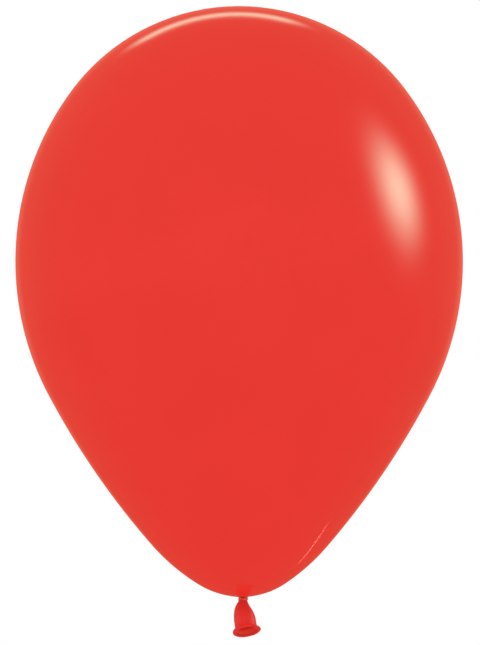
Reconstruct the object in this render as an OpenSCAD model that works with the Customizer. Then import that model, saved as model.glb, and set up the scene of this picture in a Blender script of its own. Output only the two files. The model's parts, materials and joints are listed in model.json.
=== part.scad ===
// Inflated round party balloon, tied with an overhand knot.
// Millimetres. The origin is the tie point, in the middle of the groove between the bag and the
// knot, on the axis of the gathered neck. +Z runs up through the bag, and the tail leans to -Y.

/* [Bag] */
// Radius of the bag at its widest
bag_r = 140; // [125:1:170]
// Radius of the belly arc, which runs through the widest place
belly_r = 179.5; // [146:0.5:300]
// Radius of the long flank arc under the belly
flank_r = 497; // [400:1:640]
// Radius of the hip arc between the flank and the round base
hip_r = 128; // [80:1:160]
// Angle above level at which the belly arc meets the crown
crown_angle = 36.8; // [20:0.1:60]
// Angle below level at which the belly arc meets the flank
flank_angle = 27.8; // [24:0.1:34]
// Angle below level at which the flank meets the hip
hip_angle = 41; // [37:0.5:44]
// Angle below level at which the hip meets the base
base_angle = 57.5; // [50:0.1:64]
// Thickness of the bag's film
bag_wall = 0.3; // [0.2:0.05:0.8]

/* [Neck and knot] */
// Distance of the gathered neck from the bag's own axis
neck_shift = 1; // [0:0.1:3]
// Radius of the gathered throat, over its pleats
throat_r = 2.3; // [1.9:0.1:3.2]
// Number of pleats round the throat
throat_pleats = 14; // [8:1:20]
// Radius of one pleat of the throat
pleat_r = 0.4; // [0.3:0.05:0.6]
// Length of the throat inside the bag
throat_in = 0.9; // [0.5:0.1:3]
// Width of the tie groove between the bag and the knot
groove = 0.4; // [0.3:0.1:1.5]
// Radius of the strand that runs down through the knot
strand_r = 1; // [0.7:0.05:1.3]
// Length of the strand inside the throat
strand_in = 0.7; // [0.4:0.1:1.5]
// Radius of the rolled neck that makes the loop of the knot
loop_r = 1.05; // [0.8:0.05:1.4]
// Distance from the underside of the loop up to the end of the strand
strand_tuck = 0.4; // [0.2:0.05:0.6]

/* [Tail] */
// Outer radius of the tail at its mouth
tail_r = 6.85; // [5.5:0.05:9]
// Thickness of the tail's film, which isn't stretched
tail_wall = 0.45; // [0.3:0.05:0.7]
// Distance from the bend under the knot to the middle of the rolled lip
tail_len = 19.1; // [15:0.1:26]
// Distance from the bend to the closed top of the tail
shoulder_drop = 2.3; // [2.2:0.1:3]
// Radius of the arc of the tail's shoulder
shoulder_r = 24; // [18:0.5:40]
// Length of the straight stretch above the mouth
mouth_len = 4.4; // [4:0.1:6]
// Radius of the strand that joins the tail to its bend
stem_r = 0.9; // [0.6:0.05:0.95]
// Length of that strand inside the tail
stem_in = 0.4; // [0.2:0.1:1]
// Radius of the rolled lip's bead
lip_r = 1.1; // [0.8:0.05:1.6]
// Lean of the tail towards the front
lean_front = 19.5; // [0:0.5:30]
// Lean of the tail to the right
lean_side = 8.5; // [0:0.5:15]

/* [Clearances] */
// Gap between pieces that stay put on each other
seat_gap = 0.05; // [0.03:0.01:0.1]
// Gap between pieces that turn on each other
turn_gap = 0.1; // [0.08:0.01:0.2]

/* [Hidden] */
$fn = 144;

LATEX = [0.91, 0.23, 0.2];
DEEP_LATEX = [0.78, 0.16, 0.14];
OVER = 1; // how far a cutting shape runs past what it cuts
arc_step = 4; // longest step along an arc of an outline

// A step of length d from c, at an angle above level
function along(c, d, angle) = c + d * [cos(angle), sin(angle)];

// Points on the arc round c from one angle to another, no more than arc_step apart
function arc(c, r, from, to) =
    let (steps = ceil(abs(to - from) * PI / 180 * r / arc_step))
    [for (n = [0 : steps]) along(c, r, from + (to - from) * n / steps)];

// The bag's outline is five arcs, each tangent to the next. Their centres are found from the
// widest place down and up, at a height counted from there.
belly_c = [bag_r - belly_r, 0];
crown_r = belly_r - (belly_r - bag_r) / cos(crown_angle);
crown_c = along(belly_c, belly_r - crown_r, crown_angle);
flank_c = along(belly_c, belly_r - flank_r, -flank_angle);
hip_c = along(flank_c, flank_r - hip_r, -hip_angle);
base_r = hip_r + hip_c[0] / cos(base_angle);
base_c = along(hip_c, hip_r - base_r, -base_angle);
widest_z = groove / 2 + base_r - base_c[1];

loop_z = -groove / 2 - turn_gap - loop_r;
loop_ring_r = strand_r + seat_gap + loop_r;
strand_end = loop_z - loop_r + strand_tuck;
bend_z = strand_end - turn_gap - strand_r;

bore_r = tail_r - tail_wall;
lip_ring_r = bore_r + seat_gap + lip_r;
mouth_s = tail_len - sqrt(pow(lip_r + seat_gap, 2) - pow(lip_ring_r - tail_r, 2));
shoulder_s = mouth_s - mouth_len;

// The bag's outline from its top to its foot, drawn inwards by inset all round
function bag_outline(inset) = concat(
    arc(crown_c, crown_r - inset, 90, crown_angle),
    arc(belly_c, belly_r - inset, crown_angle, -flank_angle),
    arc(flank_c, flank_r - inset, -flank_angle, -hip_angle),
    arc(hip_c, hip_r - inset, -hip_angle, -base_angle),
    arc(base_c, base_r - inset, -base_angle, -90)
);

// The tail's outline from its closed top to its mouth, drawn inwards by inset
function tail_outline(inset) =
    let (r = shoulder_r - inset, c = [tail_r - shoulder_r, -shoulder_s], top = -shoulder_drop - inset)
    concat(arc(c, r, asin((top - c[1]) / r), 0), [[tail_r - inset, -mouth_s]]);

// A list of points from its end to its start
function backwards(points) = [for (n = [len(points) - 1 : -1 : 0]) points[n]];

// Film gathered into pleats round a core
module gathered(r, fold_r, folds) {
    circle(r = r - fold_r);
    for (n = [0 : folds - 1])
        rotate(n * 360 / folds) translate([r - fold_r, 0]) circle(r = fold_r, $fn = 32);
}

// Puts what is drawn hanging straight down from the bend where the tail leans
module at_tail() {
    translate([0, 0, bend_z]) rotate([-lean_front, -lean_side, 0]) children();
}

module envelope() {
    color(LATEX) difference() {
        translate([-neck_shift, 0, widest_z]) rotate_extrude()
            polygon(concat(bag_outline(0), backwards(bag_outline(bag_wall))));
        translate([0, 0, -OVER]) cylinder(r = throat_r + seat_gap, h = groove / 2 + throat_in + 2 * OVER);
    }
}

module throat() {
    color(DEEP_LATEX) difference() {
        translate([0, 0, -groove / 2]) linear_extrude(groove + bag_wall + throat_in)
            gathered(throat_r, pleat_r, throat_pleats);
        translate([0, 0, -groove / 2 - OVER])
            cylinder(r = strand_r + seat_gap, h = groove / 2 + OVER + strand_in + turn_gap);
    }
}

module knot_loop() {
    color(LATEX) translate([0, 0, loop_z]) rotate_extrude()
        translate([loop_ring_r, 0]) circle(r = loop_r, $fn = 72);
}

module knot_core() {
    color(DEEP_LATEX) translate([0, 0, strand_end]) cylinder(r = strand_r, h = strand_in - strand_end);
}

module tail_root() {
    color(DEEP_LATEX) {
        translate([-strand_r, 0, bend_z]) rotate([0, 90, 0]) cylinder(r = strand_r, h = 2 * strand_r);
        at_tail() translate([0, 0, -shoulder_drop - tail_wall - stem_in])
            cylinder(r = stem_r, h = shoulder_drop + tail_wall + stem_in);
    }
}

module tail_skirt() {
    hole_r = stem_r + seat_gap;
    color(LATEX) at_tail() rotate_extrude() polygon(concat(
        [[hole_r, -shoulder_drop]], tail_outline(0),
        backwards(tail_outline(tail_wall)), [[hole_r, -shoulder_drop - tail_wall]]
    ));
}

module rolled_lip() {
    color(LATEX) at_tail() translate([0, 0, -tail_len]) rotate_extrude()
        translate([lip_ring_r, 0]) circle(r = lip_r, $fn = 72);
}

envelope();
throat();
knot_loop();
knot_core();
tail_root();
tail_skirt();
rolled_lip();
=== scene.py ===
"""Looks for an inflated party balloon of latex, tied in its own neck, laid out as an add-on."""

import json
from math import acos, cos, exp, pi, radians, sin

import bmesh
import bpy
from bpy.props import FloatProperty, FloatVectorProperty, IntProperty, PointerProperty
from bpy.types import Operator, Panel, PropertyGroup
from mathutils import Matrix, Quaternion, Vector


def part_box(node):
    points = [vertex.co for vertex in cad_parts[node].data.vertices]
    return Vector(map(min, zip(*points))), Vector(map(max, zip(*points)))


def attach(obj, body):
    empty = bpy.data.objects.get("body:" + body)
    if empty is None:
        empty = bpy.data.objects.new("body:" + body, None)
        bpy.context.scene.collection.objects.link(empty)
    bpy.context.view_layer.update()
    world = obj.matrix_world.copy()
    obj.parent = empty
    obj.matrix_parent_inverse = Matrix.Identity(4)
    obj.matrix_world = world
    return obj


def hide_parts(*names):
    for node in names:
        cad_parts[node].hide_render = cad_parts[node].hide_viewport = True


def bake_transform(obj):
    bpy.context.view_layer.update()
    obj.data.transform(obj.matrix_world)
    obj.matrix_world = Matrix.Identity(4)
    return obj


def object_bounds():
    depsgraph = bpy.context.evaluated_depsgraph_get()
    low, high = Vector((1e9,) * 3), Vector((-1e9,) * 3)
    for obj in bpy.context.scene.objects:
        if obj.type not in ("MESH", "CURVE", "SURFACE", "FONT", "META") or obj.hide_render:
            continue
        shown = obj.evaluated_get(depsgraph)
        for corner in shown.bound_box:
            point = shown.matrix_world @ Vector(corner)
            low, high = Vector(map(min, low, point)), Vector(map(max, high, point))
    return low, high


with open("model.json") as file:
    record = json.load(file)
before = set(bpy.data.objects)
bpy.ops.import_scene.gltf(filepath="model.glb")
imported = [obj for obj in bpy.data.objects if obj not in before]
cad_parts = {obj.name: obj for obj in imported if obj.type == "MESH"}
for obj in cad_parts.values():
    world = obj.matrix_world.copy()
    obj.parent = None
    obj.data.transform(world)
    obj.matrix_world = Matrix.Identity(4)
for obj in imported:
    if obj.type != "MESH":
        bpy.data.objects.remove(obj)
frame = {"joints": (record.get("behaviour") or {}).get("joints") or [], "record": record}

bl_info = {
    "name": "Latex Balloon",
    "version": (1, 0, 0),
    "blender": (4, 5, 0),
    "location": "View3D > Sidebar > Balloon",
    "description": "Builds an inflated latex balloon with a knotted neck and a rolled lip",
    "category": "Object",
}

CAD_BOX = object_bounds()

MM = 0.001
BAG_LOW, BAG_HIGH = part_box("envelope")
JOINTS = {joint["name"]: joint for joint in frame["joints"]}
BEND = Vector(JOINTS["tail_bend"]["pos_m"])
MOUTH = next(mount for mount in frame["record"]["mounts"] if mount["name"] == "mouth")
MOUTH_MIDDLE = Vector(MOUTH["pos_m"])
MOUTH_BORE = MOUTH["dims"]["r_mm"] * MM
TAIL_AXIS = (MOUTH_MIDDLE - BEND).normalized()
LIP_AT = (sum(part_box("rolled_lip"), Vector()) / 2 - BEND).length
CARD_DISTANCE = 2.0
BACKDROP = (radians(10), radians(28))  # off straight back, where it is full and where it ends
LOW_LIGHT = (-0.25, -0.05)  # sines of the slopes between which it gives way to the surround


def srgb(red, green, blue):
    """A colour written as 0 to 255 on a screen, in the linear values that shaders use."""
    def linear(value):
        share = value / 255
        return share / 12.92 if share <= 0.04045 else ((share + 0.055) / 1.055) ** 2.4
    return (linear(red), linear(green), linear(blue))


# Sizes and colours -------------------------------------------------------------------------


def length(name, description, default):
    return FloatProperty(
        name=name, description=description, default=default, min=0.0,
        precision=5, unit="LENGTH", subtype="DISTANCE",
    )


def angle(name, description, degrees):
    return FloatProperty(
        name=name, description=description, default=radians(degrees),
        unit="ROTATION", subtype="ANGLE",
    )


def colour(name, description, value):
    return FloatVectorProperty(
        name=name, description=description, default=value, size=3,
        min=0.0, max=1.0, subtype="COLOR",
    )


class BagSizes(PropertyGroup):
    """The bag's outline: five arcs, each tangent to the next, and the turn into the neck."""

    widest_r: length("Widest radius", "Radius of the bag at its widest",
                     (BAG_HIGH.y - BAG_LOW.y) / 2)
    belly_r: length("Belly arc", "Radius of the arc through the widest place", 0.1795)
    flank_r: length("Flank arc", "Radius of the long arc under the belly", 0.497)
    hip_r: length("Hip arc", "Radius of the arc between flank and base", 0.128)
    crown_angle: angle("Crown angle", "Angle above level where the belly meets the crown",
                       36.8)
    flank_angle: angle("Flank angle", "Angle below level where the belly meets the flank",
                       27.8)
    hip_angle: angle("Hip angle", "Angle below level where the flank meets the hip", 41)
    base_angle: angle("Base angle", "Angle below level where the hip meets the base", 57.5)
    film: length("Film", "Thickness of the bag's film", 0.0003)
    neck_r: length("Neck radius", "Radius of the gathered neck above the knot", 0.0019)
    neck_turn: length("Neck turn", "Radius of the film's turn down into the neck", 0.0007)
    neck_length: length("Neck length", "Straight stretch of neck that goes into the knot", 0.0011)
    neck_reach: length("Neck reach", "Distance over which the bag's axis meets the neck's", 0.04)
    pleats: IntProperty(name="Pleats", description="Number of pleats round the neck",
                        default=14, min=4, max=40)
    pleat_depth: length("Pleat depth", "Depth of a pleat at the neck", 0.00022)
    pleat_reach: length("Pleat reach", "Distance over which the pleats fade out", 0.0042)


class KnotSizes(PropertyGroup):
    """The rolled neck that makes the knot."""

    strand_r: length("Strand radius", "Radius of the rolled neck", 0.00118)
    strand_flat: FloatProperty(name="Flatness", description="How far the strand is flattened",
                               default=0.12, min=0.0, max=0.5)
    crease: length("Crease depth", "Depth of the creases along the strand", 0.00014)
    detail: length("Detail", "Size of the smallest detail kept where strands press together",
                   0.00009)


class TailSizes(PropertyGroup):
    """The loose end of the neck, from the knot to its rolled lip."""

    top: length("Top", "Height above the bend at which the tail closes inside the knot", 0.0012)
    waist_up: length("Waist height", "Height of the tail's waist above its bend", 0.0006)
    waist_r: length("Waist radius", "Radius of the tail where it leaves the knot", 0.0027)
    mouth_r: length("Mouth radius", "Outer radius of the tail above its lip", 0.00685)
    wall: length("Wall", "Thickness of the film, which isn't stretched here", 0.00045)
    spread: length("Spread", "Distance over which the tail opens out", 0.0135)
    fold_depth: length("Fold depth", "Depth of the folds where the tail is gathered", 0.00034)
    fold_reach: length("Fold reach", "Distance over which the folds fade out", 0.0058)
    waist_sway: length("Waist sway", "How far the waist sways to the right", 0.00065)
    body_sway: length("Body sway", "How far the tail below it sways to the left", 0.00038)
    lip_r: length("Lip bead radius", "Half of the bead's thickness round the mouth", 0.0013)
    lip_tall: length("Lip bead height", "Half of the bead's height along the tail", 0.00083)
    lip_tilt: length("Lip tilt", "How much higher the lip sits at the front than midway", 0.0006)
    lip_lap: length("Lip lap", "How far the bead stands in over the wall's inside", 0.00012)


class LatexColours(PropertyGroup):
    """Colours of the film. The base, knot, tail and inside colours are painted lighter, to make
    up for the shade near the neck, in the knot, under the bag and in the mouth. The deep
    inside colour is painted shade. The lip is deeper where the rubber is rolled thick, and
    darker still as painted shade.
    """

    crown: colour("Crown", "The stretched film at the top of the bag", srgb(234, 54, 47))
    # Painted light: the base is a lighter red than the crown, to make up for the shade low on the
    # bag.
    base: colour("Base", "The film near the neck", srgb(236, 53, 46))
    # Painted light: the knot colour is paler, to make up for the shade in the knot and its
    # creases.
    knot: colour("Knot", "The film pressed together in the knot", srgb(242, 97, 78))
    # Painted light: the tail is a lighter red than the bag, to make up for the shade that the bag
    # casts on it.
    tail: colour("Tail", "The film of the tail, which isn't stretched", srgb(241, 57, 49))
    # Painted light: the inside near the lip is lighter, to make up for the shade in the tail's
    # mouth.
    inside: colour("Inside", "The tail's inside near its lip, which is painted_lighter",
                   srgb(248, 92, 76))
    # Painted shade: the deep colour darkens the tail's inside away from its lip.
    deep: colour("Deep inside", "The tail's inside, away from its lip", srgb(228, 46, 38))
    # The lip colour is deeper where the rubber is rolled thick, and darker still as painted shade
    # on the bead.
    lip: colour("Lip", "The film rolled up into the lip", srgb(222, 50, 42))


class StudioLight(PropertyGroup):
    """Strengths of the light. The even light is the same from all round."""

    even: FloatProperty(name="Even light", description="Soft light from all round",
                        default=1.0, min=0.0)
    gloss: FloatProperty(name="Gloss surround", description="What the gloss sees all round",
                         default=0.36, min=0.0)
    backdrop: FloatProperty(name="Backdrop", description="How much brighter it is right behind",
                            default=0.27, min=0.0)
    below: FloatProperty(name="Gloss from below", description="What the gloss sees low down",
                         default=0.28, min=0.0)
    window: FloatProperty(name="Side softbox", description="Strength of the tall side softbox",
                          default=10.0, min=0.0)
    strip: FloatProperty(name="Top strip", description="Strength of the strip over the back",
                         default=3.1, min=0.0)
    edge: FloatProperty(name="Low strip", description="Strength of the thin low strip",
                        default=12.5, min=0.0)


# Node trees --------------------------------------------------------------------------------


def wire(tree, value, socket):
    """Links an output to a socket, or sets the socket to a plain value."""
    if isinstance(value, bpy.types.NodeSocket):
        tree.links.new(value, socket)
    else:
        socket.default_value = value


def node(tree, kind, *values, **settings):
    """Adds a node with its settings, and fills its inputs in order; None leaves one as it is."""
    made = tree.nodes.new(kind)
    for name, value in settings.items():
        setattr(made, name, value)
    for socket, value in zip(made.inputs, values):
        if value is not None:
            wire(tree, value, socket)
    return made


def calc(tree, operation, *values):
    return node(tree, "ShaderNodeMath", *values, operation=operation).outputs[0]


def total(tree, values):
    """The sum of a list of values."""
    result = values[0]
    for value in values[1:]:
        result = calc(tree, "ADD", result, value)
    return result


def ranged(tree, value, low, high, to_low, to_high, kind="LINEAR"):
    """A value carried over from one range to another."""
    return node(tree, "ShaderNodeMapRange", value, low, high, to_low, to_high,
                interpolation_type=kind).outputs[0]


def cloudy(tree, place, scale, detail):
    """A value that changes from place to place without a pattern."""
    noise = node(tree, "ShaderNodeTexNoise", place)
    wire(tree, scale, noise.inputs["Scale"])
    wire(tree, detail, noise.inputs["Detail"])
    return noise.outputs[0]


def mixed(tree, share, first, second):
    """A colour between two others."""
    mix = node(tree, "ShaderNodeMix", data_type="RGBA")
    for index, value in ((0, share), (6, first), (7, second)):
        wire(tree, value, mix.inputs[index])
    return mix.outputs[2]


def switched(tree, share, first, second):
    """A value between two others."""
    mix = node(tree, "ShaderNodeMix", share, data_type="FLOAT")
    wire(tree, first, mix.inputs[2])
    wire(tree, second, mix.inputs[3])
    return mix.outputs[0]


def outline_arc_group():
    """One arc of an outline: it carries on from where the last arc ended, as far as Travel
    reaches, and hands on what is left. A negative radius bends the outline the other way."""
    group = bpy.data.node_groups.new("Outline arc", "GeometryNodeTree")
    for name in ("Travel", "Radius", "From", "To"):
        group.interface.new_socket(name, in_out="INPUT", socket_type="NodeSocketFloat")
    for name in ("Travel left", "Out", "Up", "Turn"):
        group.interface.new_socket(name, in_out="OUTPUT", socket_type="NodeSocketFloat")
    travel, radius, start, end = group.nodes.new("NodeGroupInput").outputs[:4]
    arc_length = calc(group, "MULTIPLY", radius, calc(group, "SUBTRACT", start, end))
    used = calc(group, "MINIMUM", calc(group, "MAXIMUM", travel, 0.0), arc_length)
    turn = calc(group, "DIVIDE", used, radius)
    here = calc(group, "SUBTRACT", start, turn)
    steps = [
        calc(group, "MULTIPLY", radius,
             calc(group, "SUBTRACT", calc(group, side, here), calc(group, side, start)))
        for side in ("COSINE", "SINE")
    ]
    node(group, "NodeGroupOutput", calc(group, "SUBTRACT", travel, used), *steps, turn)
    return group


FILM_INPUTS = (
    "Crown radius", "Belly radius", "Flank radius", "Hip radius", "Base radius", "Turn radius",
    "Crown angle", "Flank angle", "Hip angle", "Base angle", "Neck angle",
    "Crown height", "Start", "End", "Neck at", "Neck reach", "Bag axis", "Crowding",
    "Pleat depth", "Pleat reach",
)


def film_tree():
    """A film of revolution. Its outline is a chain of tangent arcs from the crown to the neck,
    and pleats gather it towards the neck."""
    tree = bpy.data.node_groups.new("Balloon film", "GeometryNodeTree")
    tree.is_modifier = True
    face = tree.interface
    for name in ("Around", "Rows", "Pleats", "Seed"):
        face.new_socket(name, in_out="INPUT", socket_type="NodeSocketInt")
    for name in FILM_INPUTS:
        face.new_socket(name, in_out="INPUT", socket_type="NodeSocketFloat")
    face.new_socket("Latex", in_out="INPUT", socket_type="NodeSocketMaterial")
    face.new_socket("Geometry", in_out="OUTPUT", socket_type="NodeSocketGeometry")
    given = {socket.name: socket for socket in tree.nodes.new("NodeGroupInput").outputs}

    grid = node(tree, "GeometryNodeMeshGrid", 1.0, 1.0, given["Around"], given["Rows"])
    place = node(tree, "ShaderNodeSeparateXYZ", node(tree, "GeometryNodeInputPosition").outputs[0])
    round_share = calc(tree, "ADD", place.outputs[0], 0.5)
    to_end = calc(tree, "SUBTRACT", 0.5, place.outputs[1])
    bearing = calc(tree, "MULTIPLY", round_share, -2 * pi)
    even = calc(tree, "MULTIPLY", to_end, given["Crowding"])
    spread = calc(tree, "MULTIPLY", calc(tree, "POWER", to_end, 3.0),
                  calc(tree, "SUBTRACT", 1.0, given["Crowding"]))
    back = calc(tree, "MULTIPLY", calc(tree, "ADD", even, spread),
                calc(tree, "SUBTRACT", given["End"], given["Start"]))
    travel = calc(tree, "SUBTRACT", given["End"], back)

    group = outline_arc_group()
    stretches = (
        (given["Crown radius"], pi / 2, given["Crown angle"]),
        (given["Belly radius"], given["Crown angle"], given["Flank angle"]),
        (given["Flank radius"], given["Flank angle"], given["Hip angle"]),
        (given["Hip radius"], given["Hip angle"], given["Base angle"]),
        (given["Base radius"], given["Base angle"], given["Neck angle"]),
        (given["Turn radius"], given["Neck angle"], 0.0),
    )
    arcs = []
    left = travel
    for radius, start, end in stretches:
        arc = node(tree, "GeometryNodeGroup", node_tree=group)
        for socket, value in zip(arc.inputs, (left, radius, start, end)):
            wire(tree, value, socket)
        left = arc.outputs["Travel left"]
        arcs.append(arc)
    out, up, turned = (
        total(tree, [arc.outputs[name] for arc in arcs]) for name in ("Out", "Up", "Turn"))
    slope = calc(tree, "SUBTRACT", pi / 2, turned)
    height = calc(tree, "SUBTRACT", calc(tree, "ADD", given["Crown height"], up), left)

    ring = node(tree, "ShaderNodeCombineXYZ", calc(tree, "COSINE", bearing),
                calc(tree, "SINE", bearing), given["Seed"])
    uneven = cloudy(tree, ring.outputs[0], 1.7, 2.0)
    to_neck = calc(tree, "MAXIMUM", calc(tree, "SUBTRACT", given["Neck at"], travel), 0.0)
    reach = calc(tree, "MULTIPLY", given["Pleat reach"], calc(tree, "ADD", uneven, 0.5))
    fade = calc(tree, "EXPONENT", calc(
        tree, "DIVIDE", calc(tree, "MULTIPLY", to_neck, -1.0), reach))
    phase = calc(tree, "ADD", calc(tree, "MULTIPLY", bearing, given["Pleats"]),
                 calc(tree, "MULTIPLY", uneven, 5.0))
    pleat = calc(tree, "MULTIPLY", calc(tree, "COSINE", phase),
                 calc(tree, "MULTIPLY", given["Pleat depth"], fade))
    radius = calc(tree, "ADD", out, calc(tree, "MULTIPLY", pleat, calc(tree, "COSINE", slope)))
    height = calc(tree, "ADD", height, calc(tree, "MULTIPLY", pleat, calc(tree, "SINE", slope)))
    far = calc(tree, "DIVIDE", to_neck, given["Neck reach"])
    near = calc(tree, "EXPONENT", calc(tree, "MULTIPLY", calc(tree, "POWER", far, 2.0), -1.0))
    shift = calc(tree, "MULTIPLY", given["Bag axis"], calc(tree, "SUBTRACT", 1.0, near))
    point = node(
        tree, "ShaderNodeCombineXYZ",
        calc(tree, "ADD", calc(tree, "MULTIPLY", radius, calc(tree, "COSINE", bearing)), shift),
        calc(tree, "MULTIPLY", radius, calc(tree, "SINE", bearing)), height)

    placed = node(tree, "GeometryNodeSetPosition", grid.outputs[0], None, point.outputs[0])
    closed = node(tree, "GeometryNodeMergeByDistance", placed.outputs[0], None, 1e-6)
    smooth = node(tree, "GeometryNodeSetShadeSmooth", closed.outputs[0])
    real = node(tree, "GeometryNodeRealizeInstances", smooth.outputs[0])
    coated = node(tree, "GeometryNodeSetMaterial", real.outputs[0], None, given["Latex"])
    node(tree, "NodeGroupOutput", coated.outputs[0])
    return tree


# Latex -------------------------------------------------------------------------------------


CLOUD_SCALE = 0.02


def latex(name, low_colour, high_colour, low_z, high_z, roughness, grain, along=1.0, thick=0.0,
          inner_colours=()):
    """Glossy dipped rubber. Its colour runs from a low to a high one, clouded by the film's
    uneven thickness; on the bag and the neck the low colour is painted lighter against the
    shade low down. Along below 1 draws the fine grain out along the height. Thick is for film
    that isn't stretched: it lets light in and has none of the stretched film's bloom. The inner
    colours show one after the other where the mesh is marked as inside: a colour painted
    lighter against the shade in the tail's mouth, then painted shade deeper in."""
    material = bpy.data.materials.new(name)
    material.use_nodes = True
    tree = material.node_tree
    shader = tree.nodes["Principled BSDF"]
    place = node(tree, "ShaderNodeTexCoord").outputs["Object"]
    height = node(tree, "ShaderNodeSeparateXYZ", place).outputs[2]
    clouds = cloudy(tree, place, grain * CLOUD_SCALE, 3.0)

    # Up the height the colour runs from the low colour to the high one; on the bag and the neck
    # the low colour is painted lighter against the shade down there.
    up = ranged(tree, height, low_z, high_z, 0.0, 1.0, "SMOOTHSTEP")
    film = mixed(tree, up, (*low_colour, 1), (*high_colour, 1))
    # Inside the tail, the inside colour is painted light against the mouth's shade, and the deep
    # colour further in is painted shade.
    if inner_colours:
        inside = node(tree, "ShaderNodeAttribute", attribute_name="inside").outputs["Fac"]
    for step, inner in enumerate(inner_colours):
        film = mixed(tree, calc(tree, "SUBTRACT", inside, float(step)), film, (*inner, 1))
    shade = node(tree, "ShaderNodeHueSaturation")
    wire(tree, ranged(tree, clouds, 0.3, 0.7, 0.985, 1.015), shade.inputs["Value"])
    wire(tree, film, shade.inputs["Color"])

    drawn = node(tree, "ShaderNodeMapping", place)
    wire(tree, (1, 1, along), drawn.inputs["Scale"])
    bump = node(tree, "ShaderNodeBump")
    wire(tree, cloudy(tree, drawn.outputs[0], grain, 4.0), bump.inputs["Height"])
    wire(tree, 0.15, bump.inputs["Strength"])
    wire(tree, 0.02 / grain, bump.inputs["Distance"])

    values = {
        "Base Color": shade.outputs[0],
        "Roughness": ranged(tree, clouds, 0.3, 0.7, roughness * 0.9, roughness * 1.1),
        "Normal": bump.outputs[0],
        "IOR": 1.5,
        "Specular IOR Level": 0.5 - 0.36 * thick,
        "Sheen Weight": 1.0 - thick,
        "Sheen Roughness": 0.45,
        "Sheen Tint": (1.0, 0.03, 0.01, 1.0),
        "Subsurface Weight": 0.7 * thick,
        "Subsurface Radius": (2.0, 0.7, 0.5),
        "Subsurface Scale": MM,
    }
    for socket, value in values.items():
        wire(tree, value, shader.inputs[socket])
    return material


# Meshes ------------------------------------------------------------------------------------


def new_piece(name, mesh, material):
    """An object of that mesh, in the scene, shaded smooth and in that material."""
    mesh.name = name
    mesh.materials.clear()
    mesh.materials.append(material)
    mesh.polygons.foreach_set("use_smooth", [True] * len(mesh.polygons))
    piece = bpy.data.objects.new(name, mesh)
    bpy.context.scene.collection.objects.link(piece)
    return piece


def baked(name, source, material):
    """The source's mesh with its modifiers applied, as a plain new piece. The source goes."""
    bpy.context.view_layer.update()
    ready = source.evaluated_get(bpy.context.evaluated_depsgraph_get())
    mesh = bpy.data.meshes.new_from_object(ready)
    bpy.data.objects.remove(source)
    return new_piece(name, mesh, material)


def finished(made):
    """A mesh from what was made, its faces turned outwards."""
    bmesh.ops.recalc_face_normals(made, faces=made.faces)
    mesh = bpy.data.meshes.new("made")
    made.to_mesh(mesh)
    made.free()
    return mesh


def lofted(rings):
    """A tube of quads through rings of points, each end closed by a fan. The fans' middles are
    its last two vertices."""
    made = bmesh.new()
    loops = [[made.verts.new(point) for point in ring] for ring in rings]
    count = len(rings[0])
    for low, high in zip(loops, loops[1:]):
        for n in range(count):
            m = (n + 1) % count
            made.faces.new((low[n], low[m], high[m], high[n]))
    for loop in (loops[0], loops[-1]):
        middle = made.verts.new(sum((v.co for v in loop), Vector()) / count)
        for n in range(count):
            made.faces.new((loop[n], loop[(n + 1) % count], middle))
    return finished(made)


def bearings(count):
    """Bearings that are evenly spaced all round."""
    return [2 * pi * n / count for n in range(count)]


def smooth_path(points, per_span):
    """Points on a smooth curve through the given ones."""
    ends = [2 * points[0] - points[1], *points, 2 * points[-1] - points[-2]]
    path = []
    for n in range(len(points) - 1):
        a, b, c, d = ends[n:n + 4]
        for k in range(per_span):
            t = k / per_span
            path.append(0.5 * (2 * b + (c - a) * t + (2 * a - 5 * b + 4 * c - d) * t * t
                               + (3 * b - a - 3 * c + d) * t ** 3))
    return path + [points[-1]]


def strand_rings(path, section, count=32):
    """Rings of a strand along a path. Section gives the radius at a share of the way and an
    angle. The rings are carried along without twisting."""
    side = (path[1] - path[0]).orthogonal().normalized()
    rings = []
    turns = bearings(count)
    last = len(path) - 1
    for n, here in enumerate(path):
        ahead = (path[min(n + 1, last)] - path[max(n - 1, 0)]).normalized()
        side = (side - ahead * side.dot(ahead)).normalized()
        other = ahead.cross(side)
        rings.append([
            here + section(n / last, turn) * (side * cos(turn) + other * sin(turn))
            for turn in turns
        ])
    return rings


# Operators ---------------------------------------------------------------------------------


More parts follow.
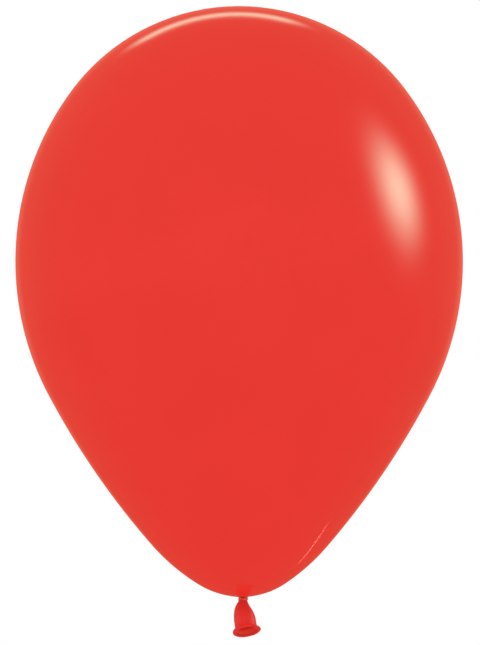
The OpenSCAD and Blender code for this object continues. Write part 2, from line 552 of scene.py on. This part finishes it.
def film_values(sizes):
    """What the film's node tree needs, worked out from the bag's sizes, and how far along the
    outline the bag turns into the neck and the neck ends."""
    belly_x = sizes.widest_r - sizes.belly_r
    crown_r = sizes.belly_r - (sizes.belly_r - sizes.widest_r) / cos(sizes.crown_angle)
    flank_x = belly_x + (sizes.belly_r - sizes.flank_r) * cos(sizes.flank_angle)
    hip_x = flank_x + (sizes.flank_r - sizes.hip_r) * cos(sizes.hip_angle)
    base_r = sizes.hip_r + hip_x / cos(sizes.base_angle)
    neck_angle = acos((sizes.neck_r + sizes.neck_turn) / (base_r + sizes.neck_turn))
    radii = (crown_r, sizes.belly_r, sizes.flank_r, sizes.hip_r, base_r)
    angles = (pi / 2, sizes.crown_angle, -sizes.flank_angle, -sizes.hip_angle,
              -sizes.base_angle, -neck_angle)
    neck_at = sum(r * (a - b) for r, a, b in zip(radii, angles, angles[1:]))
    turn_length = sizes.neck_turn * neck_angle
    radius_names = ("Crown radius", "Belly radius", "Flank radius", "Hip radius", "Base radius")
    angle_names = ("Crown angle", "Flank angle", "Hip angle", "Base angle", "Neck angle")
    values = {
        **dict(zip(radius_names, radii)),
        **dict(zip(angle_names, angles[1:])),
        "Turn radius": -sizes.neck_turn,
        "Crown height": BAG_HIGH.z,
        "Neck at": neck_at,
        "Neck reach": sizes.neck_reach,
        "Bag axis": (BAG_LOW.x + BAG_HIGH.x) / 2,
        "Pleats": sizes.pleats,
        "Pleat depth": sizes.pleat_depth,
        "Pleat reach": sizes.pleat_reach,
        "Seed": 3,
    }
    return values, neck_at + turn_length / 2, neck_at + turn_length + sizes.neck_length


def film_piece(name, material, values):
    """A piece made by the film's node tree, turned into a plain mesh."""
    tree = bpy.data.node_groups.get("Balloon film") or film_tree()
    source = bpy.data.objects.new("film_source", bpy.data.meshes.new("film_source"))
    bpy.context.scene.collection.objects.link(source)
    modifier = source.modifiers.new("film", "NODES")
    modifier.node_group = tree
    for socket in tree.interface.items_tree:
        if socket.in_out == "INPUT" and socket.name in values:
            modifier[socket.identifier] = values[socket.name]
        if socket.in_out == "INPUT" and socket.name == "Latex":
            modifier[socket.identifier] = material
    return baked(name, source, material)


class BALLOON_OT_bag(Operator):
    """Makes the inflated bag as one film with its pleats at the neck"""

    bl_idname = "balloon.make_bag"
    bl_label = "Make the bag"

    def execute(self, context):
        sizes, colours = context.scene.balloon_bag, context.scene.balloon_latex
        stretched = latex("bag_film", colours.base, colours.crown, 0.0, BAG_HIGH.z,
                          roughness=0.1, grain=900.0)
        values, split, _ = film_values(sizes)
        values.update({"Around": 197, "Rows": 200, "Crowding": 0.05,
                       "Start": 0.0, "End": split})
        bag = film_piece("bag", stretched, values)
        wall = bag.modifiers.new("film", "SOLIDIFY")
        wall.thickness = sizes.film
        wall.offset = -1.0
        bag = baked("bag", bag, stretched)
        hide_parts("envelope")
        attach(bag, "bag")
        return {"FINISHED"}


class BALLOON_OT_throat(Operator):
    """Makes the gathered neck between the bag and the knot"""

    bl_idname = "balloon.make_throat"
    bl_label = "Make the throat"

    def execute(self, context):
        sizes, colours = context.scene.balloon_bag, context.scene.balloon_latex
        gathered = latex("neck_film", colours.knot, colours.base, -MM, MM,
                         roughness=0.4, grain=4000.0, thick=1.0)
        values, split, end = film_values(sizes)
        values.update({"Around": 197, "Rows": 40, "Crowding": 1.0,
                       "Start": split, "End": end})
        throat = film_piece("gathered_neck", gathered, values)
        filled = bmesh.new()
        filled.from_mesh(throat.data)
        bmesh.ops.holes_fill(filled, edges=[e for e in filled.edges if e.is_boundary])
        bmesh.ops.triangulate(filled, faces=[f for f in filled.faces if len(f.verts) > 4])
        filled.to_mesh(throat.data)
        filled.free()
        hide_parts("throat")
        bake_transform(throat)
        return {"FINISHED"}


# The rolled neck's way through the knot, in strand radii from the tie point. The knot is made
# in millimetres, which suits the remesh, and then scaled.
KNOT_WAY = (
    (0.0, 0.1, 0.6),
    (-0.35, -0.5, -0.1),
    (-0.7, -1.0, -0.9),
    (-0.3, -1.25, -1.6),
    (1.0, -1.2, -1.45),
    (2.15, -0.3, -0.8),
    (1.75, 1.1, -0.6),
    (0.0, 1.6, -0.9),
    (-1.15, 0.9, -1.3),
    (-1.05, -0.15, -1.6),
    (-0.25, 0.1, -2.1),
    (0.1, -0.1, -3.2),
)


class BALLOON_OT_knot(Operator):
    """Makes the knot from one rolled strand that goes round itself"""

    bl_idname = "balloon.make_knot"
    bl_label = "Make the knot"

    def execute(self, context):
        sizes, colours = context.scene.balloon_knot, context.scene.balloon_latex
        pressed = latex("knot_film", colours.knot, colours.knot, -3 * MM, 0.0,
                        roughness=0.42, grain=4000.0, thick=1.0)
        unit = sizes.strand_r / MM

        def section(share, around):
            creases = cos(5 * around + 14 * share) + 0.5 * cos(9 * around - 20 * share + 1)
            flattened = unit * (1 - sizes.strand_flat * cos(2 * around))
            return flattened + sizes.crease / MM * creases

        path = smooth_path([Vector(point) * unit for point in KNOT_WAY], 10)
        solid = bpy.data.objects.new("knot_source", lofted(strand_rings(path, section)))
        bpy.context.scene.collection.objects.link(solid)
        pressed_together = solid.modifiers.new("press", "REMESH")
        pressed_together.mode = "VOXEL"
        pressed_together.voxel_size = sizes.detail / MM
        soften = solid.modifiers.new("soften", "SMOOTH")
        soften.iterations = 4
        knot = baked("knot", solid, pressed)
        knot.data.transform(Matrix.Scale(MM, 4))
        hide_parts("knot_loop", "knot_core")
        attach(knot, "knot")
        return {"FINISHED"}


def tail_frame():
    """Axes of the tail: across its mouth, across it the other way, and along it."""
    across = Vector((1, 0, 0))
    across = (across - TAIL_AXIS * across.dot(TAIL_AXIS)).normalized()
    return across, TAIL_AXIS.cross(across), TAIL_AXIS


def tail_point(radius, bearing, along):
    """A point at a radius and a bearing round the tail's axis, some way along it."""
    across, other, ahead = tail_frame()
    return BEND + ahead * along + (across * cos(bearing) + other * sin(bearing)) * radius


def tail_radius(sizes, bearing, along):
    """The tail's outer radius: a waist at the knot, folds below it, and a straight mouth."""
    below = along + sizes.waist_up
    share = min(max(below / sizes.spread, 0.0), 1.0)
    opening = sin(pi / 2 * share ** 0.92)
    open_r = sizes.waist_r + (sizes.mouth_r - sizes.waist_r) * opening
    tuck = min(below, 0.0) ** 2 / sizes.top
    fade = exp(-max(along, 0) / sizes.fold_reach)
    folds = cos(7 * bearing + 0.8) + 0.6 * cos(11 * bearing + 2.1) + 0.5 * cos(4 * bearing - 1.2)
    return open_r - tuck + sizes.fold_depth * fade * folds * 0.5


def film_point(sizes, bearing, along, inset):
    """A point on the tail's film, inset from its outside. The tail sways a little."""
    waist = exp(-((along / MM + 1.5) / 2) ** 2)
    body = exp(-((along / MM - 4) / 4) ** 2)
    sway = sizes.waist_sway * waist - sizes.body_sway * body
    point = tail_point(tail_radius(sizes, bearing, along) - inset, bearing, along)
    return point + Vector((sway, 0, 0))


def lip_along(sizes, bearing):
    """How far along the tail its lip lies, which is a little less at the front."""
    return LIP_AT - sizes.lip_tilt * sin(bearing)


class BALLOON_OT_tail(Operator):
    """Makes the loose end of the neck, open at its mouth, with folds where it is gathered"""

    bl_idname = "balloon.make_tail"
    bl_label = "Make the tail"

    def execute(self, context):
        sizes, colours = context.scene.balloon_tail, context.scene.balloon_latex
        unstretched = latex("tail_film", colours.tail, colours.tail, MOUTH_MIDDLE.z, BEND.z,
                            roughness=0.45, grain=2500.0, along=0.3, thick=1.0,
                            inner_colours=(colours.inside, colours.deep))

        around, rows = bearings(112), 60
        outer_top, inner_top = -sizes.top, 1.6 * MM
        rings = []
        shades = []
        for n in range(rows + 1):
            rings.append([
                film_point(sizes, turn, outer_top
                           + (lip_along(sizes, turn) - outer_top) * n / rows, 0.0)
                for turn in around])
            shades += [0.0] * len(around)
        for n in range(rows, -1, -1):
            rings.append([
                film_point(sizes, turn, inner_top
                           + (lip_along(sizes, turn) - inner_top) * n / rows, sizes.wall)
                for turn in around])
            # Inside, the mark runs from 1 at the lip to 2 deeper in, where the inner colours paint
            # shade into the mouth.
            depth = (LIP_AT - inner_top) * (1 - n / rows)
            shades += [1.0 + min(max(depth / MM - 2.2, 0.0) / 2.6, 1.0)] * len(around)
        tail = new_piece("tail", lofted(rings), unstretched)
        inside = tail.data.attributes.new("inside", "FLOAT", "POINT")
        inside.data.foreach_set("value", [*shades, 0.0, 2.0])
        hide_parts("tail_skirt", "tail_root")
        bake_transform(tail)
        return {"FINISHED"}


class BALLOON_OT_lip(Operator):
    """Makes the bead that the edge of the neck is rolled into, with the roll's seam on it"""

    bl_idname = "balloon.make_lip"
    bl_label = "Make the rolled lip"

    def execute(self, context):
        sizes, colours = context.scene.balloon_tail, context.scene.balloon_latex
        rolled = latex("lip_film", colours.lip, colours.lip, MOUTH_MIDDLE.z, BEND.z,
                       roughness=0.45, grain=2500.0, thick=1.0)
        around, section = bearings(160), bearings(36)
        seam = radians(150)
        made = bmesh.new()
        loops = []
        for bearing in around:
            uneven = 0.05 * cos(3 * bearing + 0.5) + 0.03 * cos(7 * bearing)
            bead = sizes.lip_r * (1 + uneven)
            ring_r = MOUTH_BORE - sizes.lip_lap + bead
            loop = []
            for turn in section:
                off = (turn - seam + pi) % (2 * pi) - pi
                r = bead * (1 - 0.14 * exp(-(off / 0.2) ** 2))
                up = r * sin(turn) * sizes.lip_tall / sizes.lip_r
                loop.append(made.verts.new(tail_point(
                    ring_r + r * cos(turn), bearing, lip_along(sizes, bearing) + up)))
            loops.append(loop)
        for near, far in zip(loops, loops[1:] + loops[:1]):
            for k, _ in enumerate(section):
                made.faces.new((near[k - 1], near[k], far[k], far[k - 1]))
        mesh = finished(made)
        lip = new_piece("lip_bead", mesh, rolled)
        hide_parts("rolled_lip")
        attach(lip, "tail")
        return {"FINISHED"}


CARD_FADE = -6.5


def card_light(name, strength, tint, flat):
    """A clear sheet that glows, and fades towards its edges from a middle that is flat over a
    share of it across and up."""
    material = bpy.data.materials.new(name)
    material.use_nodes = True
    tree = material.node_tree
    tree.nodes.clear()
    place = node(tree, "ShaderNodeSeparateXYZ",
                 node(tree, "ShaderNodeTexCoord").outputs["Object"])
    squares = []
    for axis, share in enumerate(flat):
        off = calc(tree, "SUBTRACT", calc(tree, "ABSOLUTE", place.outputs[axis]), share)
        off = calc(tree, "DIVIDE", calc(tree, "MAXIMUM", off, 0.0), 1 - share)
        squares.append(calc(tree, "POWER", off, 2.0))
    fade = calc(tree, "EXPONENT", calc(tree, "MULTIPLY", total(tree, squares), CARD_FADE))
    emission = node(tree, "ShaderNodeEmission", (*tint, 1.0),
                    calc(tree, "MULTIPLY", fade, strength))
    clear = node(tree, "ShaderNodeBsdfTransparent")
    both = node(tree, "ShaderNodeAddShader", emission.outputs[0], clear.outputs[0])
    node(tree, "ShaderNodeOutputMaterial", both.outputs[0])
    return material


def card(name, spot, bearing, rise, roll, size, strength, tint, flat):
    """A softbox that only the gloss sees. It stands off from the spot on the bag that mirrors
    it, at a bearing and a rise, and fades from its flat middle to its edges."""
    mesh = bpy.data.meshes.new(name)
    mesh.from_pydata([(-1, -1, 0), (1, -1, 0), (1, 1, 0), (-1, 1, 0)], [], [(0, 1, 2, 3)])
    piece = bpy.data.objects.new(name, mesh)
    bpy.context.scene.collection.objects.link(piece)
    towards = Vector((cos(rise) * cos(bearing), cos(rise) * sin(bearing), sin(rise)))
    turned = towards.to_track_quat("Z", "Y") @ Quaternion((0, 0, 1), roll)
    piece.location = Vector(spot) + towards * CARD_DISTANCE
    piece.rotation_euler = turned.to_euler()
    piece.scale = (size[0] / 2, size[1] / 2, 1)
    mesh.materials.append(card_light(name, strength, tint, flat))
    piece.visible_camera = False
    piece.visible_diffuse = False
    piece.visible_transmission = False
    piece.visible_shadow = False


def make_cards(light):
    """Puts up the three softboxes."""
    # Red film is nearly as bright as white in its red, so the cards hold their red back
    pale = (0.42, 1.0, 0.73)
    card("side_softbox", (0.1, -0.09, 0.25), radians(8.5), radians(19), 0.0, (2.2, 2.3),
         light.window, pale, (0.0, 0.0))
    card("top_strip", (-0.02, -0.04, 0.36), radians(94.5), radians(31.8), radians(-6),
         (1.5, 0.72), light.strip, pale, (0.55, 0.0))
    card("low_strip", (0.045, -0.03, 0.03), radians(53.2), radians(-34.0), radians(-10),
         (0.4, 0.062), light.edge, (1.0, 0.42, 0.32), (0.72, 0.0))


def studio_world(light):
    """Even white light from all round. The gloss sees a dimmer and warmer one, with a brighter
    backdrop straight behind the balloon and less light from below."""
    world = bpy.data.worlds.new("studio")
    world.use_nodes = True
    tree = world.node_tree
    tree.nodes.clear()
    rays = node(tree, "ShaderNodeLightPath").outputs
    way = node(tree, "ShaderNodeTexCoord").outputs["Generated"]
    toward = node(tree, "ShaderNodeSeparateXYZ", way).outputs
    behind = ranged(tree, toward["Y"], cos(BACKDROP[1]), cos(BACKDROP[0]), 0.0, light.backdrop,
                    "SMOOTHSTEP")
    above = ranged(tree, toward["Z"], *LOW_LIGHT, 0.0, 1.0, "SMOOTHSTEP")
    glossy = switched(tree, above, light.below, calc(tree, "ADD", behind, light.gloss))
    level = switched(tree, rays["Is Glossy Ray"], light.even, glossy)
    seen = calc(tree, "MAXIMUM", rays["Is Camera Ray"], rays["Is Transmission Ray"])
    tint = mixed(tree, rays["Is Glossy Ray"], (1, 1, 1, 1), (1.0, 0.6, 0.42, 1))
    glow = node(tree, "ShaderNodeBackground", tint, switched(tree, seen, level, 1.0))
    node(tree, "ShaderNodeOutputWorld", glow.outputs[0])
    return world


def make_floor():
    """Lays a pale paper floor under the balloon, which keeps its shadow."""
    half, drop = 3.0, 0.12
    z = CAD_BOX[0].z - drop
    mesh = bpy.data.meshes.new("floor")
    mesh.from_pydata(
        [(-half, -half, z), (half, -half, z), (half, half, z), (-half, half, z)], [],
        [(0, 1, 2, 3)])
    floor = bpy.data.objects.new("floor", mesh)
    bpy.context.scene.collection.objects.link(floor)
    paper = bpy.data.materials.new("floor_paper")
    paper.use_nodes = True
    shader = paper.node_tree.nodes["Principled BSDF"]
    shader.inputs["Base Color"].default_value = (0.99, 0.99, 0.99, 1)
    shader.inputs["Roughness"].default_value = 0.9
    shader.inputs["Specular IOR Level"].default_value = 0.0
    mesh.materials.append(paper)
    floor.visible_glossy = False


def make_camera(scene):
    """A level camera in front of the balloon, which sees it without perspective."""
    camera = bpy.data.cameras.new("camera")
    camera.type = "ORTHO"
    camera.ortho_scale = 0.4034
    eye = bpy.data.objects.new("camera", camera)
    eye.location = (-0.0006, -2.0, 0.1718)
    eye.rotation_euler = (radians(90), radians(0.245), 0)
    scene.collection.objects.link(eye)
    return eye


class BALLOON_OT_stage(Operator):
    """Sets up the floor, the studio light and the level camera"""

    bl_idname = "balloon.make_stage"
    bl_label = "Make the stage"

    def execute(self, context):
        scene, light = context.scene, context.scene.balloon_light
        scene.view_settings.view_transform = "Standard"

        scene.world = studio_world(light)
        make_cards(light)
        make_floor()
        scene.camera = make_camera(scene)
        return {"FINISHED"}


class BALLOON_PT_panel(Panel):
    """Lists the balloon's pieces and their sizes in the sidebar"""

    bl_label = "Latex balloon"
    bl_idname = "BALLOON_PT_panel"
    bl_space_type = "VIEW_3D"
    bl_region_type = "UI"
    bl_category = "Balloon"

    def draw(self, context):
        for operator in OPERATORS:
            self.layout.operator(operator.bl_idname)
        for name, group in GROUPS.items():
            box = self.layout.box()
            box.label(text=LABELS[name])
            for field in group.__annotations__:
                box.prop(getattr(context.scene, name), field)


GROUPS = {
    "balloon_bag": BagSizes,
    "balloon_knot": KnotSizes,
    "balloon_tail": TailSizes,
    "balloon_latex": LatexColours,
    "balloon_light": StudioLight,
}
LABELS = {
    "balloon_bag": "Bag",
    "balloon_knot": "Knot",
    "balloon_tail": "Tail and lip",
    "balloon_latex": "Colours",
    "balloon_light": "Light",
}
OPERATORS = (BALLOON_OT_stage, BALLOON_OT_bag, BALLOON_OT_throat, BALLOON_OT_knot,
             BALLOON_OT_tail, BALLOON_OT_lip)


def register():
    for group in GROUPS.values():
        bpy.utils.register_class(group)
    for operator in OPERATORS:
        bpy.utils.register_class(operator)
    bpy.utils.register_class(BALLOON_PT_panel)
    for name, group in GROUPS.items():
        setattr(bpy.types.Scene, name, PointerProperty(type=group))


def unregister():
    for name in GROUPS:
        delattr(bpy.types.Scene, name)
    bpy.utils.unregister_class(BALLOON_PT_panel)
    for operator in reversed(OPERATORS):
        bpy.utils.unregister_class(operator)
    for group in reversed(list(GROUPS.values())):
        bpy.utils.unregister_class(group)


def main():
    register()
    bpy.ops.balloon.make_stage()
    bpy.ops.balloon.make_bag()
    bpy.ops.balloon.make_throat()
    bpy.ops.balloon.make_knot()
    bpy.ops.balloon.make_tail()
    bpy.ops.balloon.make_lip()


if __name__ == "__main__":
    main()
